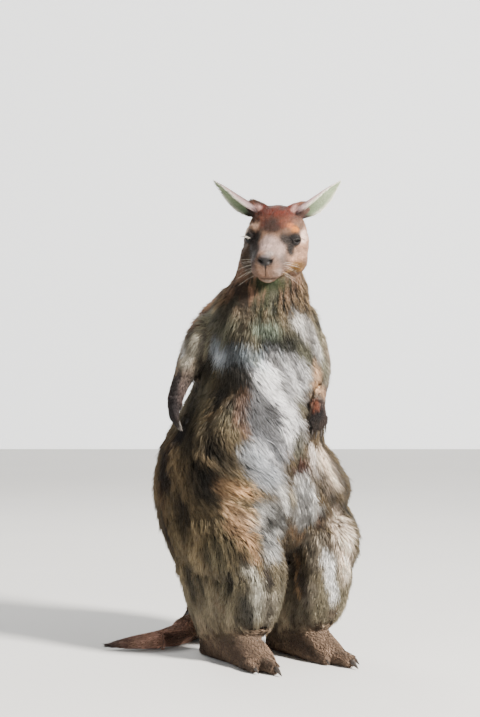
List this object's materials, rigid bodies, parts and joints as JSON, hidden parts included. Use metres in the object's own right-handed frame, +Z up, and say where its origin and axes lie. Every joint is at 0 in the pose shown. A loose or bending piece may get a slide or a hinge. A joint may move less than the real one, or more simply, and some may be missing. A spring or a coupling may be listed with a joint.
{
  "type": "kangaroo",
  "caption": "Kangaroo resting upright on its long hind feet and tail, head turned to its right, forearms hanging over a round belly; a still, life-size animal model.",
  "frame": {"origin": "on the floor, under the middle of the bounding box", "axes": "+Z up; the hips and feet point towards -Y; +X is the animal's left; the head is turned about 41 degrees to the animal's right"},
  "size_m": [0.4312, 0.5486, 0.9442],
  "materials": {
    "fur_brown": "dense coat, dark brown with paler tips, on the back, rump and thighs",
    "fur_grey": "grey-brown coat streaked with pale hair on neck, chest, arms and shanks",
    "fur_pale": "long pale coat of the belly, browner at the flanks",
    "fur_red": "short dark reddish coat on the crown, paler on cheeks and muzzle; reddish on the tail",
    "fur_dark": "short, nearly black coat of hands, feet and tail tip",
    "ear_skin": "thin ear leather with a pale short pile inside and a dark purple-brown back",
    "eye": "glossy, near-black brown eyeball",
    "claw": "worn black horn, half gloss"
  },
  "bodies": {
    "root": {"belly": "fur_pale", "chest": "fur_grey", "claw_foot_l_23": "claw", "claw_foot_l_4": "claw", "claw_foot_l_5": "claw", "claw_foot_r_23": "claw", "claw_foot_r_4": "claw", "claw_foot_r_5": "claw", "claw_hand_l_1": "claw", "claw_hand_l_2": "claw", "claw_hand_l_3": "claw", "claw_hand_l_4": "claw", "claw_hand_l_5": "claw", "claw_hand_r_1": "claw", "claw_hand_r_2": "claw", "claw_hand_r_3": "claw", "claw_hand_r_4": "claw", "claw_hand_r_5": "claw", "ear_l": "ear_skin", "ear_r": "ear_skin", "eye_l": "eye", "eye_r": "eye", "foot_l": "fur_dark", "foot_r": "fur_dark", "forearm_l": "fur_grey", "forearm_r": "fur_grey", "hand_l": "fur_dark", "hand_r": "fur_dark", "head": "fur_red", "neck": "fur_grey", "rump": "fur_brown", "shank_l": "fur_grey", "shank_r": "fur_grey", "tail_base": "fur_red", "tail_middle": "fur_red", "tail_tip": "fur_dark", "thigh_l": "fur_brown", "thigh_r": "fur_brown", "upper_arm_l": "fur_grey", "upper_arm_r": "fur_grey"}
  },
  "joints": []
}
